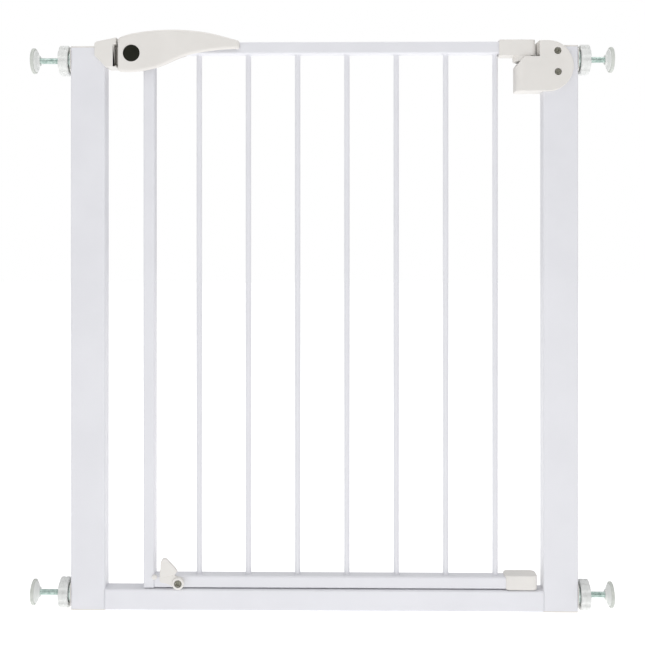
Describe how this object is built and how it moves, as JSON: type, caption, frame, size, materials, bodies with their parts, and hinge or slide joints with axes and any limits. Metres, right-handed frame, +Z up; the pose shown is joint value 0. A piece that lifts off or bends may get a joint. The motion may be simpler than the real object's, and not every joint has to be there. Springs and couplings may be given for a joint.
{
  "type": "pressure-fit safety gate",
  "caption": "White steel child gate: U-shaped frame on pressure spindles, barred leaf on a side hinge, lift-to-open latch handle with a round button, flip-down swing stop.",
  "frame": {"origin": "centre of the base rail's underside, midway between the posts and midway through their depth", "axes": "+X from the latch post to the hinge post, +Y from the button side to the back, +Z up"},
  "size_m": [0.774, 0.0404, 0.7712],
  "materials": {
    "powder_coat": "semi-gloss white powder coat",
    "white_plastic": "satin warm white moulded plastic",
    "nut_plastic": "satin white plastic",
    "nylon": "natural nylon",
    "black_plastic": "satin black plastic",
    "grey_plastic": "warm grey acetal",
    "zinc_steel": "bright zinc with a blue-green passivate",
    "screw_steel": "dark oiled steel",
    "spring_steel": "drawn wire",
    "pad_rubber": "pale grey rubber"
  },
  "bodies": {
    "frame": {"left_post": "powder_coat", "right_post": "powder_coat", "base_rail": "powder_coat", "post_caps": "white_plastic", "post_feet": "white_plastic", "spindle_bushes": "white_plastic", "lock_washers": "zinc_steel", "latch_keep": "white_plastic", "keep_screws": "screw_steel", "hinge_cover_front": "white_plastic", "hinge_cover_back": "white_plastic", "hinge_box_screws": "screw_steel", "hinge_socket": "nylon", "closer_spring": "spring_steel", "hinge_gap_seal": "white_plastic", "lower_pivot_bush": "nylon"},
    "leaf": {"leaf_top_rail": "powder_coat", "leaf_foot_rail": "powder_coat", "latch_stile": "powder_coat", "leaf_bar_1": "powder_coat", "leaf_bar_2": "powder_coat", "leaf_bar_3": "powder_coat", "leaf_bar_4": "powder_coat", "leaf_bar_5": "powder_coat", "leaf_bar_6": "powder_coat", "leaf_bar_7": "powder_coat", "hinge_sleeve": "white_plastic", "hinge_pin": "zinc_steel", "foot_block": "white_plastic", "lower_pivot_pin": "zinc_steel", "latch_body": "grey_plastic", "bolt_spring": "spring_steel", "handle_pivot_pin": "zinc_steel", "handle_spring": "spring_steel", "stop_rest_peg": "white_plastic", "stop_spacer": "nylon", "stop_bolt": "screw_steel"},
    "handle": {"handle_front": "white_plastic", "handle_back": "white_plastic", "handle_screws": "screw_steel", "button_carrier": "nylon", "button_spring": "spring_steel"},
    "button": {"release_button": "black_plastic"},
    "bolt": {"latch_bolt": "grey_plastic"},
    "swing_stop": {"swing_stop": "white_plastic"},
    "spindle_top_left": {"spindle_top_left": "zinc_steel", "wall_pad_top_left": "pad_rubber"},
    "nut_top_left": {"adjusting_nut_top_left": "nut_plastic"},
    "spindle_top_right": {"spindle_top_right": "zinc_steel", "wall_pad_top_right": "pad_rubber"},
    "nut_top_right": {"adjusting_nut_top_right": "nut_plastic"},
    "spindle_bottom_left": {"spindle_bottom_left": "zinc_steel", "wall_pad_bottom_left": "pad_rubber"},
    "nut_bottom_left": {"adjusting_nut_bottom_left": "nut_plastic"},
    "spindle_bottom_right": {"spindle_bottom_right": "zinc_steel", "wall_pad_bottom_right": "pad_rubber"},
    "nut_bottom_right": {"adjusting_nut_bottom_right": "nut_plastic"}
  },
  "joints": [
    {"name": "leaf_swing", "type": "hinge", "parent": "frame", "child": "leaf", "pos_m": [0.266, 0, 0.38], "axis": [0, 0, 1], "range_deg": [-90, 90], "stiffness_Nm_per_rad": 0.6},
    {"name": "handle_lift", "type": "hinge", "parent": "leaf", "child": "handle", "pos_m": [-0.2645, 0, 0.7535], "axis": [0, -1, 0], "range_deg": [0, 30], "stiffness_Nm_per_rad": 0.5, "springref_deg": -20.05},
    {"name": "bolt_slide", "type": "slide", "parent": "leaf", "child": "bolt", "axis": [1, 0, 0], "range_m": [0, 0.0046], "deforming": ["bolt_spring"]},
    {"name": "button_press", "type": "slide", "parent": "handle", "child": "button", "axis": [0, 1, 0], "range_m": [0, 0.002], "stiffness_N_per_m": 400, "deforming": ["button_spring"]},
    {"name": "stop_flip", "type": "hinge", "parent": "leaf", "child": "swing_stop", "pos_m": [-0.1927, -0.016, 0.0376], "axis": [0, -1, 0], "range_deg": [0, 90]},
    {"name": "nut_turn_top_left", "type": "hinge", "parent": "frame", "child": "nut_top_left", "pos_m": [-0.346, 0, 0.732], "axis": [-1, 0, 0], "range_deg": [-5184, 3456]},
    {"name": "spindle_slide_top_left", "type": "slide", "parent": "frame", "child": "spindle_top_left", "axis": [-1, 0, 0], "range_m": [-0.0181, 0.0121]},
    {"name": "nut_turn_top_right", "type": "hinge", "parent": "frame", "child": "nut_top_right", "pos_m": [0.346, 0, 0.732], "axis": [1, 0, 0], "range_deg": [-3456, 5184]},
    {"name": "spindle_slide_top_right", "type": "slide", "parent": "frame", "child": "spindle_top_right", "axis": [1, 0, 0], "range_m": [-0.0121, 0.0181]},
    {"name": "nut_turn_bottom_left", "type": "hinge", "parent": "frame", "child": "nut_bottom_left", "pos_m": [-0.346, 0, 0.02], "axis": [-1, 0, 0], "range_deg": [-5184, 3456]},
    {"name": "spindle_slide_bottom_left", "type": "slide", "parent": "frame", "child": "spindle_bottom_left", "axis": [-1, 0, 0], "range_m": [-0.0181, 0.0121]},
    {"name": "nut_turn_bottom_right", "type": "hinge", "parent": "frame", "child": "nut_bottom_right", "pos_m": [0.346, 0, 0.02], "axis": [1, 0, 0], "range_deg": [-3456, 5184]},
    {"name": "spindle_slide_bottom_right", "type": "slide", "parent": "frame", "child": "spindle_bottom_right", "axis": [1, 0, 0], "range_m": [-0.0121, 0.0181]}
  ],
  "couplings": [
    {"joint": "bolt_slide", "follows": "handle_lift", "m_per_rad": 0.0085944},
    {"joint": "spindle_slide_top_left", "follows": "nut_turn_top_left", "m_per_rad": 0.00019894},
    {"joint": "spindle_slide_top_right", "follows": "nut_turn_top_right", "m_per_rad": 0.00019894},
    {"joint": "spindle_slide_bottom_left", "follows": "nut_turn_bottom_left", "m_per_rad": 0.00019894},
    {"joint": "spindle_slide_bottom_right", "follows": "nut_turn_bottom_right", "m_per_rad": 0.00019894}
  ]
}
